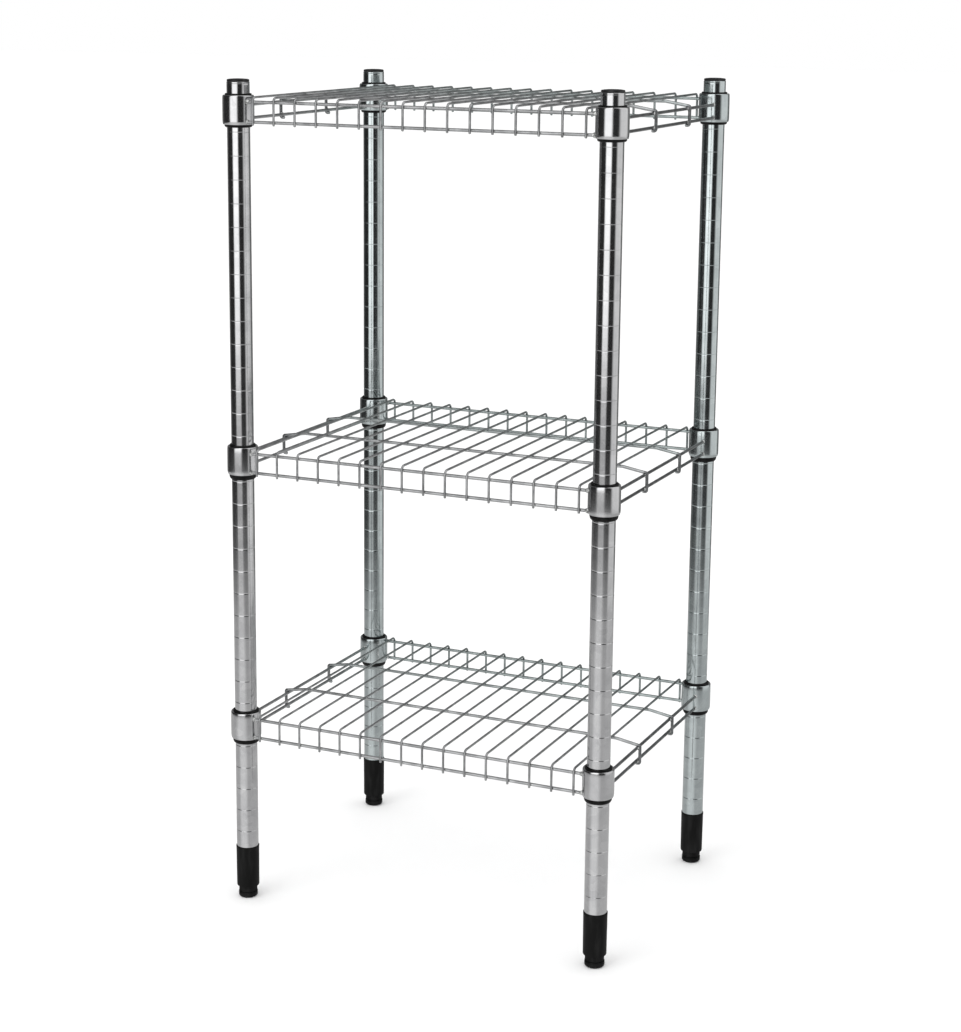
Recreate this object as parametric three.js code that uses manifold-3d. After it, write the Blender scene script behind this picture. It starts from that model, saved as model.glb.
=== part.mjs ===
// Free-standing wire rack: four grooved tube posts, three welded wire shelves that wedge onto
// split plastic clips, and screw feet. Millimetres, +Z up, origin on the floor under its middle.
import * as THREE from 'three';
import { mergeVertices } from 'three/addons/utils/BufferGeometryUtils.js';
import Module from 'manifold-3d';

const wasm = await Module();
wasm.setup();

// Whole rack.
const HEIGHT = 940; // floor to the top of the post caps
const WIDTH = 432; // post axis to post axis, left to right
const DEPTH = 323; // post axis to post axis, front to back
const GAP = 0.3; // clearance between pieces that touch or fit into each other
const ROUND_SIDES = 12; // sides of a round piece
const WIRE_SIDES = 6; // sides of a wire

// Post tube and the ring grooves that the clips grip.
const POST_RADIUS = 12.5;
const POST_WALL = 1;
const GROOVE_PITCH = 25.8;
const FIRST_GROOVE = 31.4; // height of the lowest groove above the floor
const GROOVE_DEPTH = 0.5;
const GROOVE_HALF_HEIGHT = 1.6;

// Post cap.
const CAP_RADIUS = 12.2;
const CAP_HEIGHT = 3;
const CAP_CHAMFER = 1;
const CAP_PLUG_LENGTH = 12;

// Shelf places, counted in grooves.
const BOTTOM_SHELF_GROOVE = 7; // up from the lowest groove
const MIDDLE_SHELF_DROP = 15; // down from the top shelf
const TOP_SHELF_CLEARANCE = 30; // least height of the cap's top above the top shelf's groove

// Corner collar of a shelf: a tapered socket, wider at the bottom.
const COLLAR_HEIGHT = 31.4;
const COLLAR_RISE = 13.8; // collar top above the gripped groove
const COLLAR_WALL = 1.3;
const COLLAR_BULGE = 0.9;
const COLLAR_EDGE = 3; // height of the drawn-in ends

// Split wedge clip between post and collar.
const CLIP_TOP_WALL = 1.7;
const CLIP_BOTTOM_WALL = 2.3;
const CLIP_RIM = 1.8; // how far the clip shows above the collar
const CLIP_LIP_HEIGHT = 5.5; // how far it shows below the collar
const CLIP_TOP_LIP_HEIGHT = 2.8; // the same on the top shelf, which sits lower on its clips
const CLIP_LIP_WALL = 2.4;
const CLIP_LIP_CHAMFER = 1.2;
const CLIP_RIDGE_HALF_HEIGHT = 1.2;

// Shelf wires. Drops are measured down from the collar's top to a wire's axis.
const RAIL_RADIUS = 1.75;
const CROSS_RADIUS = 1.3;
const DECK_DROP = 1.6; // cross wires
const BEND = 5; // corner of a cross wire where it turns down over the rail
const RAIL_EDGE = 3.3; // front and back bottom rails, up from the collar's bottom
const RAIL_OFFSET = 8; // front and back rails, outwards from the post axes
const CROSS_MARGIN = 24; // post axis to the first cross wire
const CROSS_PITCH = 25.6; // wanted spacing of the cross wires
const CROSS_TAIL = 3; // end of a cross wire below the bottom rail's axis
const SIDE_DROP = 11.8; // side top rail
const SIDE_EDGE = 5; // side bottom rail, up from the collar's bottom
const SIDE_OFFSET = 4.5; // side rails, outwards from the post axes
const BRACE_COUNT = 2; // long wires under the cross wires
const BRACE_BEND = 3;
const WELD = 0.25; // how deep one wire sinks into another

// Foot: sleeve on the post's end, levelling screw and glide pad.
const SLEEVE_WALL = 0.6;
const SLEEVE_LENGTH = 49;
const SLEEVE_FLOOR = 4.5;
const SCREW_RADIUS = 4;
const SCREW_CLEARANCE = 0.6; // round a turning piece
const SCREW_REACH = 22; // screw above the sleeve's floor
const SCREW_TIP_CHAMFER = 1;
const NECK_RADIUS = 10.5;
const NECK_HEIGHT = 6.5;
const STUB_RADIUS = 5;
const PAD_RADIUS = 11;
const PAD_HEIGHT = 6.7;
const PAD_FLOOR = 3.6;
const PAD_CHAMFER = 2;

const CORNERS = [
  { name: 'front_left', x: -1, y: -1 },
  { name: 'front_right', x: 1, y: -1 },
  { name: 'back_left', x: -1, y: 1 },
  { name: 'back_right', x: 1, y: 1 },
];

// Places worked out from the sizes above.
const neckBottom = PAD_HEIGHT + GAP;
const neckTop = neckBottom + NECK_HEIGHT;
const sleeveBottom = neckTop + GAP;
const sleeveFloorTop = sleeveBottom + SLEEVE_FLOOR;
const postBottom = sleeveFloorTop + GAP;
const capBottom = HEIGHT - CAP_HEIGHT;
const postTop = capBottom - GAP;
const postBore = POST_RADIUS - POST_WALL;
const grooveHeight = (number) => FIRST_GROOVE + number * GROOVE_PITCH;
const topGroove = Math.floor((HEIGHT - TOP_SHELF_CLEARANCE - FIRST_GROOVE) / GROOVE_PITCH);
const SHELVES = [
  { name: 'bottom', groove: BOTTOM_SHELF_GROOVE, lip: CLIP_LIP_HEIGHT },
  { name: 'middle', groove: topGroove - MIDDLE_SHELF_DROP, lip: CLIP_LIP_HEIGHT },
  { name: 'top', groove: topGroove, lip: CLIP_TOP_LIP_HEIGHT },
];

// Clip and collar radii, each fitted to the one inside it.
const clipBore = POST_RADIUS + GAP;
const clipTopRadius = clipBore + CLIP_TOP_WALL;
const clipBottomRadius = clipBore + CLIP_BOTTOM_WALL;
const clipLipRadius = clipBore + CLIP_LIP_WALL;
const collarTopBore = clipTopRadius + GAP;
const collarBottomBore = clipBottomRadius + GAP;
const collarMiddleRadius = (collarTopBore + collarBottomBore) / 2 + COLLAR_WALL + COLLAR_BULGE;

// Wire heights, measured from the collar's top.
const flat = (radius) => radius * Math.cos(Math.PI / WIRE_SIDES); // axis to a flat of a wire
const deckZ = -DECK_DROP;
const topRailZ = deckZ - BEND;
const bottomRailZ = RAIL_EDGE - COLLAR_HEIGHT;
const braceZ = deckZ - flat(CROSS_RADIUS) - flat(RAIL_RADIUS) + WELD;
const sideTopZ = -SIDE_DROP;
const sideBottomZ = SIDE_EDGE - COLLAR_HEIGHT;
const legOffset = RAIL_OFFSET + flat(RAIL_RADIUS) + flat(CROSS_RADIUS) - WELD;
const braceLegOffset = SIDE_OFFSET + 2 * flat(RAIL_RADIUS) - WELD;
const braceOverZ = sideTopZ + 2 * RAIL_RADIUS + GAP; // where a brace passes over the side rail
const braceUnderZ = sideBottomZ - 2 * RAIL_RADIUS - GAP;

const zinc = { color: 0xb4b8b8, roughness: 0.35, metalness: 0.9 };
const brightWire = { color: 0xc2c5c5, roughness: 0.3, metalness: 0.9 };
const blackPlastic = { color: 0x1c1c1d, roughness: 0.55, metalness: 0 };

/** One named mesh with a material of its own. */
function piece(name, geometry, look) {
  const mesh = new THREE.Mesh(geometry, new THREE.MeshStandardMaterial(look));
  mesh.name = name;
  return mesh;
}

/** Turned piece from [radius, height] points, anticlockwise in the half plane. */
function turned(points) {
  const profile = points.map(([radius, height]) => new THREE.Vector2(radius, height));
  return new THREE.LatheGeometry(profile, ROUND_SIDES).rotateX(Math.PI / 2);
}

/** Turned ring: its outline closes on itself. */
function turnedRing(points) {
  return turned([...points, points[0]]);
}

/** Boolean solid of a closed geometry. */
function toSolid(geometry) {
  const bare = geometry.clone();
  bare.deleteAttribute('normal');
  bare.deleteAttribute('uv');
  const merged = mergeVertices(bare);
  return new wasm.Manifold(new wasm.Mesh({
    numProp: 3,
    vertProperties: new Float32Array(merged.attributes.position.array),
    triVerts: new Uint32Array(merged.index.array),
  }));
}

/** Geometry of a boolean solid. */
function toGeometry(solid) {
  const mesh = solid.getMesh();
  const geometry = new THREE.BufferGeometry();
  geometry.setAttribute('position', new THREE.BufferAttribute(mesh.vertProperties, 3));
  geometry.setIndex(new THREE.BufferAttribute(mesh.triVerts, 1));
  geometry.computeVertexNormals();
  return geometry;
}

/** A path of straight stretches in one plane, mitred at its corners. */
class MitredPath extends THREE.Curve {
  constructor(points, side) {
    super();
    this.points = points;
    this.side = side; // unit vector square to the plane of the path
  }

  getPoint(share, target = new THREE.Vector3()) {
    return target.copy(this.points[Math.round(share * (this.points.length - 1))]);
  }

  getPointAt(share, target) {
    return this.getPoint(share, target);
  }

  direction(index) {
    return this.points[index + 1].clone().sub(this.points[index]).normalize();
  }

  computeFrenetFrames(segments) {
    const frames = { tangents: [], normals: [], binormals: [] };
    for (let index = 0; index <= segments; index += 1) {
      const before = this.direction(Math.max(index - 1, 0));
      const after = this.direction(Math.min(index, segments - 1));
      const tangent = before.add(after).normalize();
      const normal = this.side.clone().cross(tangent).divideScalar(tangent.dot(after));
      frames.tangents.push(tangent);
      frames.normals.push(normal);
      frames.binormals.push(this.side.clone());
    }
    return frames;
  }
}

/** Wire along [x, y, z] points, with flats facing into the plane of the path. */
function wire(points, radius, side) {
  const outline = [];
  for (let corner = 0; corner < WIRE_SIDES; corner += 1) {
    const angle = ((corner + 0.5) * 2 * Math.PI) / WIRE_SIDES;
    outline.push(new THREE.Vector2(radius * Math.cos(angle), radius * Math.sin(angle)));
  }
  const path = new MitredPath(points.map((point) => new THREE.Vector3(...point)), side);
  const settings = { steps: points.length - 1, extrudePath: path };
  return toSolid(new THREE.ExtrudeGeometry(new THREE.Shape(outline), settings));
}

function postGeometry() {
  const outer = SHELVES.flatMap(({ groove }) => [
    [POST_RADIUS, grooveHeight(groove) - GROOVE_HALF_HEIGHT],
    [POST_RADIUS - GROOVE_DEPTH, grooveHeight(groove)],
    [POST_RADIUS, grooveHeight(groove) + GROOVE_HALF_HEIGHT],
  ]);
  return turnedRing([
    [postBore, postBottom],
    [POST_RADIUS, postBottom],
    ...outer,
    [POST_RADIUS, postTop],
    [postBore, postTop],
  ]);
}

function capGeometry() {
  const plugRadius = postBore - GAP;
  return turned([
    [0, postTop - CAP_PLUG_LENGTH],
    [plugRadius, postTop - CAP_PLUG_LENGTH],
    [plugRadius, capBottom],
    [CAP_RADIUS, capBottom],
    [CAP_RADIUS, HEIGHT - CAP_CHAMFER],
    [CAP_RADIUS - CAP_CHAMFER, HEIGHT],
    [0, HEIGHT],
  ]);
}

function sleeveGeometry() {
  const bore = POST_RADIUS + GAP;
  const hole = SCREW_RADIUS + SCREW_CLEARANCE;
  return turnedRing([
    [hole, sleeveBottom],
    [bore + SLEEVE_WALL, sleeveBottom],
    [bore + SLEEVE_WALL, sleeveBottom + SLEEVE_LENGTH],
    [bore, sleeveBottom + SLEEVE_LENGTH],
    [bore, sleeveFloorTop],
    [hole, sleeveFloorTop],
  ]);
}

function screwGeometry() {
  const tip = sleeveFloorTop + SCREW_REACH;
  return turned([
    [0, PAD_FLOOR + GAP],
    [STUB_RADIUS, PAD_FLOOR + GAP],
    [STUB_RADIUS, neckBottom],
    [NECK_RADIUS, neckBottom],
    [NECK_RADIUS, neckTop],
    [SCREW_RADIUS, neckTop],
    [SCREW_RADIUS, tip - SCREW_TIP_CHAMFER],
    [SCREW_RADIUS - SCREW_TIP_CHAMFER, tip],
    [0, tip],
  ]);
}

function padGeometry() {
  const recess = STUB_RADIUS + SCREW_CLEARANCE;
  return turned([
    [0, 0],
    [PAD_RADIUS - PAD_CHAMFER, 0],
    [PAD_RADIUS, PAD_CHAMFER],
    [PAD_RADIUS, PAD_HEIGHT],
    [recess, PAD_HEIGHT],
    [recess, PAD_FLOOR],
    [0, PAD_FLOOR],
  ]);
}

/** Collar with its top at height 0. */
function collarGeometry() {
  return turnedRing([
    [collarBottomBore, -COLLAR_HEIGHT],
    [collarBottomBore + COLLAR_WALL, -COLLAR_HEIGHT],
    [collarMiddleRadius, COLLAR_EDGE - COLLAR_HEIGHT],
    [collarMiddleRadius, -COLLAR_EDGE],
    [collarTopBore + COLLAR_WALL, 0],
    [collarTopBore, 0],
  ]);
}

/** The two halves of a wedge clip, with the collar's top at height 0. */
function clipHalves(lipHeight) {
  const lipTop = -COLLAR_HEIGHT - GAP;
  const bottom = lipTop - lipHeight;
  const ridge = clipBore - GROOVE_DEPTH;
  const ring = toSolid(turnedRing([
    [clipBore, bottom],
    [clipLipRadius - CLIP_LIP_CHAMFER, bottom],
    [clipLipRadius, bottom + CLIP_LIP_CHAMFER],
    [clipLipRadius, lipTop],
    [clipBottomRadius, lipTop],
    [clipTopRadius, CLIP_RIM],
    [clipBore, CLIP_RIM],
    [clipBore, -COLLAR_RISE + CLIP_RIDGE_HALF_HEIGHT],
    [ridge, -COLLAR_RISE],
    [clipBore, -COLLAR_RISE - CLIP_RIDGE_HALF_HEIGHT],
  ]));
  const span = 4 * clipLipRadius + 2 * COLLAR_HEIGHT;
  return [-1, 1].map((side) => {
    const half = new THREE.BoxGeometry(span, span, 2 * span);
    half.translate((side * (span + GAP)) / 2, 0, 0);
    return toGeometry(ring.intersect(toSolid(half)));
  });
}

/** Cross wire at x: up the front, over the deck and down the back. */
function crossWire(x) {
  const leg = DEPTH / 2 + legOffset;
  const tail = bottomRailZ - CROSS_TAIL;
  return wire([
    [x, -leg, tail],
    [x, -leg, topRailZ],
    [x, -leg + BEND, deckZ],
    [x, leg - BEND, deckZ],
    [x, leg, topRailZ],
    [x, leg, tail],
  ], CROSS_RADIUS, new THREE.Vector3(1, 0, 0));
}

/** Long wire at y: under the cross wires, over the side rails, down and in under them. */
function braceWire(y) {
  const leg = WIDTH / 2 + braceLegOffset;
  const level = WIDTH / 2 - CROSS_MARGIN + 3 * CROSS_RADIUS;
  const half = [
    [level, y, braceZ],
    [leg - BRACE_BEND, y, braceOverZ],
    [leg, y, braceOverZ - BRACE_BEND],
    [leg, y, braceUnderZ + BRACE_BEND],
    [leg - BRACE_BEND, y, braceUnderZ],
    [leg - BRACE_BEND - 2 * RAIL_RADIUS, y, braceUnderZ],
  ];
  const mirrored = half.map(([x, ...rest]) => [-x, ...rest]).reverse();
  return wire([...mirrored, ...half], RAIL_RADIUS, new THREE.Vector3(0, 1, 0));
}

/** Everything welded to a shelf's collars, with the collars' tops at height 0. */
function wirePanel() {
  const wires = [];
  const crossSpan = WIDTH - 2 * CROSS_MARGIN;
  const crossGaps = Math.round(crossSpan / CROSS_PITCH);
  for (let index = 0; index <= crossGaps; index += 1) {
    wires.push(crossWire(-crossSpan / 2 + (index * crossSpan) / crossGaps));
  }
  for (let index = 1; index <= BRACE_COUNT; index += 1) {
    wires.push(braceWire(-DEPTH / 2 + (index * DEPTH) / (BRACE_COUNT + 1)));
  }
  const up = new THREE.Vector3(0, 0, 1);
  for (const side of [-1, 1]) {
    const y = side * (DEPTH / 2 + RAIL_OFFSET);
    const x = side * (WIDTH / 2 + SIDE_OFFSET);
    for (const z of [topRailZ, bottomRailZ]) {
      wires.push(wire([[-WIDTH / 2, y, z], [WIDTH / 2, y, z]], RAIL_RADIUS, up));
    }
    for (const z of [sideTopZ, sideBottomZ]) {
      wires.push(wire([[x, -DEPTH / 2, z], [x, DEPTH / 2, z]], RAIL_RADIUS, up));
    }
  }
  let panel = wires.reduce((whole, next) => whole.add(next));
  const room = collarMiddleRadius + GAP;
  for (const corner of CORNERS) {
    const socket = new THREE.CylinderGeometry(room, room, 4 * COLLAR_HEIGHT, ROUND_SIDES);
    socket.rotateX(Math.PI / 2);
    socket.translate((corner.x * WIDTH) / 2, (corner.y * DEPTH) / 2, 0);
    panel = panel.subtract(toSolid(socket));
  }
  return toGeometry(panel);
}

const group = new THREE.Group();
const shapes = {
  post: postGeometry(),
  cap: capGeometry(),
  sleeve: sleeveGeometry(),
  screw: screwGeometry(),
  pad: padGeometry(),
  collar: collarGeometry(),
  panel: wirePanel(),
};

for (const corner of CORNERS) {
  const stand = new THREE.Group();
  stand.position.set((corner.x * WIDTH) / 2, (corner.y * DEPTH) / 2, 0);
  stand.add(
    piece(`post_${corner.name}`, shapes.post, zinc),
    piece(`post_cap_${corner.name}`, shapes.cap, blackPlastic),
    piece(`foot_sleeve_${corner.name}`, shapes.sleeve, blackPlastic),
    piece(`foot_screw_${corner.name}`, shapes.screw, blackPlastic),
    piece(`foot_pad_${corner.name}`, shapes.pad, blackPlastic),
  );
  group.add(stand);
}

for (const shelf of SHELVES) {
  const level = new THREE.Group();
  level.position.z = grooveHeight(shelf.groove) + COLLAR_RISE;
  level.add(piece(`shelf_wires_${shelf.name}`, shapes.panel, brightWire));
  const clips = clipHalves(shelf.lip);
  for (const corner of CORNERS) {
    const socket = new THREE.Group();
    socket.position.set((corner.x * WIDTH) / 2, (corner.y * DEPTH) / 2, 0);
    socket.add(piece(`collar_${shelf.name}_${corner.name}`, shapes.collar, zinc));
    clips.forEach((half, index) => {
      socket.add(piece(`clip_${shelf.name}_${corner.name}_${index + 1}`, half, blackPlastic));
    });
    level.add(socket);
  }
  group.add(level);
}

export default group;
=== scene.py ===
"""Looks of a free-standing wire shelf rack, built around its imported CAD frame.

Grooved tube posts with caps, wedge clips and screw feet carry three welded wire shelves. Each
sub-assembly is a class that reads its place from the frame. Everything is in metres, apart from
the steps of an outline, which are in millimetres.
"""

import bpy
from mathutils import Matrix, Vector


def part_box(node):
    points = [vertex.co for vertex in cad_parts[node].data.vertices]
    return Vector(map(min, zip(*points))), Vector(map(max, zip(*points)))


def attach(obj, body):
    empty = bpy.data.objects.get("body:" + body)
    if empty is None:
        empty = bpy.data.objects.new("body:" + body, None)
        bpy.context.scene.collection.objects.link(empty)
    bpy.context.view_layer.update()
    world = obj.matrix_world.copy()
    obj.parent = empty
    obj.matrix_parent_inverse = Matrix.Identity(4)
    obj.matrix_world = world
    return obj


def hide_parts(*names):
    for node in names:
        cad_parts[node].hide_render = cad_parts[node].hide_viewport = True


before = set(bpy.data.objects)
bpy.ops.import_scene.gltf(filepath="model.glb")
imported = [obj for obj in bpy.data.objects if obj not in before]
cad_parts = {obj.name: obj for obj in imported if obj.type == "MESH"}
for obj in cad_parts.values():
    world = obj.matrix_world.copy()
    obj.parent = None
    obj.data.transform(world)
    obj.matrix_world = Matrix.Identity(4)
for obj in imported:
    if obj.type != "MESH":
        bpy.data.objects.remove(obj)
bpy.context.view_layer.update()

import logging
import math
from dataclasses import dataclass, field
from enum import Enum
from functools import partial
from typing import Callable, Iterable, Sequence

import bmesh
import bpy
from mathutils import Matrix, Vector, noise

LOG = logging.getLogger("rack")
MM = 0.001
FULL_TURN = 2 * math.pi
SHARP_ANGLE = math.radians(38)
STRAIGHT_HALF_ANGLE = math.radians(88)  # corners flatter than this stay as they are
ARC_LEG_SHARE = 0.49  # most of a leg that one of its corner arcs may take
POLE_RADIUS = 1e-7  # a smaller ring is one point
DOME_RISE = 0.45  # of a wire's end, in radii
DOME_RING_RISE = 0.6  # where the dome has a ring, as a share of its rise
DOME_RING_RADIUS = 0.7  # and that ring's radius, in radii
LUMP_SCALE = 1.7
LUMP_SEED_SCALE = 300
THREAD_SECTION = ((0.0, -0.42), (1.0, -0.08), (1.0, 0.08), (0.0, 0.42))  # out, up in pitches
THREAD_STEPS = 24  # in one turn
THREAD_FADE_FLOOR = 0.15
THREAD_SINK = 0.05 * MM
GAP = 0.3 * MM  # between neighbouring pieces
GROOVE_BELOW_COLLAR = 13.8 * MM  # from a collar's top to the groove that its clips grip
WHITE = (1.0, 1.0, 1.0)
MIX_FACTOR, MIX_FIRST, MIX_SECOND = 0, 6, 7  # inputs of a Mix node on colours

Point = Sequence[float]
Profile = list[tuple[float, float]]
Steps = tuple[tuple[float, float], ...]


class Corner(Enum):
    """The four posts, each with its side along X and along Y."""

    FRONT_LEFT = ("front_left", -1, -1)
    FRONT_RIGHT = ("front_right", 1, -1)
    BACK_LEFT = ("back_left", -1, 1)
    BACK_RIGHT = ("back_right", 1, 1)

    @property
    def label(self) -> str:
        """Name of the corner as nodes and bodies carry it."""
        return self.value[0]

    @property
    def inward(self) -> Vector:
        """Level unit vector from the post towards the middle of the rack."""
        return Vector((-self.value[1], -self.value[2], 0)).normalized()


class Level(Enum):
    """The three shelves, from the floor up."""

    BOTTOM = "bottom"
    MIDDLE = "middle"
    TOP = "top"


class Slot(Enum):
    """Material slots of the record."""

    POST = "post_steel"
    COLLAR = "collar_steel"
    WIRE = "shelf_wire"
    CAP = "cap_plastic"
    CLIP = "clip_plastic"
    FOOT = "foot_plastic"


@dataclass(frozen=True)
class Extent:
    """Box of a round CAD node: its axis, radius and ends."""

    axis: Vector
    radius: float
    bottom: float
    top: float

    @classmethod
    def of(cls, node: str) -> "Extent":
        """Read a node's box.

        Args:
            node: name of a CAD node that is round about a vertical axis.

        Returns:
            Its extent, with the axis given as a point at height 0.
        """
        low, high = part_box(node)
        axis = Vector(((low.x + high.x) / 2, (low.y + high.y) / 2, 0))
        return cls(axis, (high.y - low.y) / 2, low.z, high.z)

    def clear_of(self, point: Vector, radius: float) -> Vector:
        """Move a point straight out to a radius about this axis if it lies nearer.

        Args:
            point: the point.
            radius: least distance from the axis.

        Returns:
            The point at or beyond that radius, at its own height.
        """
        arm = Vector((point.x - self.axis.x, point.y - self.axis.y, 0))
        return point + arm.normalized() * max(0.0, radius - arm.length)


# ---- Shader graphs ----


@dataclass(frozen=True)
class Grain:
    """One fractal noise: features per metre, octaves, and any scaling along X, Y and Z."""

    scale: float
    detail: float
    stretch: Point | None = None


class Value:
    """A number socket that takes part in Python expressions."""

    def __init__(self, graph: "Graph", socket: bpy.types.NodeSocket) -> None:
        """Keep the graph and the output socket."""
        self.graph = graph
        self.socket = socket

    def _math(self, operation: str, first: object, second: object = None) -> "Value":
        """Add a Math node.

        Args:
            operation: the node's operation.
            first: a value or a number.
            second: likewise, for an operation on two operands.

        Returns:
            The node's result.
        """
        operands = [first] if second is None else [first, second]
        links = dict(enumerate(operands))
        return self.graph.node("ShaderNodeMath", {"operation": operation}, links)["Value"]

    def __add__(self, other: object) -> "Value":
        """Sum."""
        return self._math("ADD", self, other)

    def __sub__(self, other: object) -> "Value":
        """Difference."""
        return self._math("SUBTRACT", self, other)

    def __rsub__(self, other: object) -> "Value":
        """Difference from a plain number."""
        return self._math("SUBTRACT", other, self)

    def __mul__(self, other: object) -> "Value":
        """Product."""
        return self._math("MULTIPLY", self, other)

    __radd__ = __add__
    __rmul__ = __mul__

    def size(self) -> "Value":
        """This value without its sign."""
        return self._math("ABSOLUTE", self)

    def above(self, low: float, high: float) -> "Value":
        """Step smoothly from 0 to 1.

        Args:
            low: where the step starts.
            high: where it ends.

        Returns:
            The step.
        """
        settings = {"interpolation_type": "SMOOTHSTEP"}
        links = {"Value": self, "From Min": low, "From Max": high}
        return self.graph.node("ShaderNodeMapRange", settings, links)["Result"]


def weighted(weights: Sequence[float], *values: Value) -> Value:
    """Sum of values, each times its weight."""
    first, *others = [weight * value for weight, value in zip(weights, values)]
    return sum(others, first)


class Graph:
    """Node tree of a material or a world, written as expressions."""

    def __init__(self, tree: bpy.types.NodeTree) -> None:
        """Start with an empty tree."""
        self.tree = tree
        tree.nodes.clear()

    def node(
        self, kind: str, settings: dict | None = None, links: dict | None = None
    ) -> dict[str, Value]:
        """Add a node.

        Args:
            kind: node type, such as "ShaderNodeTexNoise".
            settings: properties to set first.
            links: values or sockets, by input name or number.

        Returns:
            The node's enabled outputs by name.
        """
        made = self.tree.nodes.new(kind)
        for name, setting in (settings or {}).items():
            setattr(made, name, setting)
        for key, given in (links or {}).items():
            target = made.inputs[key]
            if isinstance(given, Value):
                self.tree.links.new(given.socket, target)
            else:
                target.default_value = given
        return {out.name: Value(self, out) for out in made.outputs if out.enabled}

    def place(self) -> Value:
        """Object coordinates, which stay on a piece as it moves."""
        return self.node("ShaderNodeTexCoord")["Object"]

    def hindmost(self, front: float, back: float) -> Value:
        """Share from 0 at one depth of the rack to 1 at another."""
        depth = self.node("ShaderNodeSeparateXYZ", {}, {"Vector": self.place()})["Y"]
        return depth.above(front, back)

    def outermost(self, inner: float, outer: float) -> Value:
        """Share from 0 at one distance from the rack's middle, along X, to 1 at another."""
        across = self.node("ShaderNodeSeparateXYZ", {}, {"Vector": self.place()})["X"]
        return across.size().above(inner, outer)

    def grain(self, grain: Grain) -> Value:
        """Add a fractal noise on the piece.

        Args:
            grain: its scale, octaves and stretch.

        Returns:
            The noise, from 0 to 1.
        """
        vector = self.place()
        if grain.stretch:
            links = {"Vector": vector, "Scale": grain.stretch}
            vector = self.node("ShaderNodeMapping", {}, links)["Vector"]
        links = {"Vector": vector, "Scale": grain.scale, "Detail": grain.detail}
        return self.node("ShaderNodeTexNoise", {}, links)["Fac"]

    def spangle(self, size: float) -> Value:
        """Add zinc crystals on the piece.

        Args:
            size: rough size of one crystal.

        Returns:
            A number from 0 to 1 that is the same all over a crystal.
        """
        links = {"Vector": self.place(), "Scale": 1 / size, "Randomness": 1.0}
        cells = self.node("ShaderNodeTexVoronoi", {"feature": "F1"}, links)["Color"]
        return self.node("ShaderNodeSeparateColor", {}, {"Color": cells})["Red"]

    def mix(self, share: Value, first: "Point | Value", second: "Point | Value") -> Value:
        """Colour between two colours.

        Args:
            share: 0 for the first colour, 1 for the second.
            first: a plain colour or a colour value.
            second: likewise.

        Returns:
            The mixed colour.
        """
        ends = [end if isinstance(end, Value) else (*end, 1.0) for end in (first, second)]
        links = {MIX_FACTOR: share, MIX_FIRST: ends[0], MIX_SECOND: ends[1]}
        return self.node("ShaderNodeMix", {"data_type": "RGBA"}, links)["Result"]

    def vector(self, operation: str, first: Value, second: "Point | Value | None" = None) -> Value:
        """Vector Math on one or two operands."""
        links = {0: first} if second is None else {0: first, 1: second}
        return self.node("ShaderNodeVectorMath", {"operation": operation}, links)["Vector"]

    def bump(self, height: Value, depth: float, strength: float) -> Value:
        """Normal of a height field, depth in metres."""
        links = {"Height": height, "Distance": depth, "Strength": strength}
        return self.node("ShaderNodeBump", {}, links)["Normal"]

    def surface(self, links: dict) -> None:
        """Close the graph with a Principled shader."""
        shader = self.node("ShaderNodeBsdfPrincipled", {}, links)["BSDF"]
        self.node("ShaderNodeOutputMaterial", {}, {"Surface": shader})


# ---- Finishes ----


def new_material(name: str) -> tuple[bpy.types.Material, Graph]:
    """Make an empty node material.

    Args:
        name: the material's name.

    Returns:
        The material and its graph.
    """
    material = bpy.data.materials.new(name)
    material.use_nodes = True
    return material, Graph(material.node_tree)


@dataclass(frozen=True)
class GalvanisedSteel:
    """Zinc-coated sheet or tube: soft spangle, drawing streaks and dull patches.

    The weights are of spangle, patches and streaks in the tone, of patches and grit in the
    dullness, and of grit, streaks and spangle in the relief.
    """

    name: str
    light: Point = (0.64, 0.64, 0.645)
    dark: Point = (0.46, 0.462, 0.47)
    passivate: Point = (0.89, 0.97, 0.965)
    passivate_reach: Point = (-0.1, 0.12)
    spangle_size: float = 9 * MM
    patches: Grain = Grain(1 / (30 * MM), 5.0)
    patch_range: Point = (0.3, 0.7)
    streaks: Grain = Grain(900.0, 2.0, (1.0, 1.0, 0.03))
    grit: Grain = Grain(2600.0, 2.0)
    tone_weights: Point = (0.30, 0.45, 0.25)
    dull_weights: Point = (0.6, 0.4)
    relief_weights: Point = (0.25, 0.45, 0.3)
    relief_depth: float = 0.014 * MM
    relief_strength: float = 0.6
    gloss: float = 0.09
    dullness: float = 0.08

    def make(self) -> bpy.types.Material:
        """Build the material.

        Returns:
            The material.
        """
        material, graph = new_material(self.name)
        spangle = graph.spangle(self.spangle_size)
        patches = graph.grain(self.patches)
        streaks = graph.grain(self.streaks)
        grit = graph.grain(self.grit)
        tone = weighted(self.tone_weights, spangle, patches.above(*self.patch_range), streaks)
        zinc = graph.mix(tone, self.dark, self.light)
        hue = graph.mix(graph.hindmost(*self.passivate_reach), WHITE, self.passivate)
        relief = weighted(self.relief_weights, grit, streaks, spangle)
        graph.surface({
            "Base Color": graph.vector("MULTIPLY", zinc, hue),
            "Metallic": 1.0,
            "Roughness": self.gloss + self.dullness * weighted(self.dull_weights, patches, grit),
            "Normal": graph.bump(relief, self.relief_depth, self.relief_strength),
        })
        return material


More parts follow.
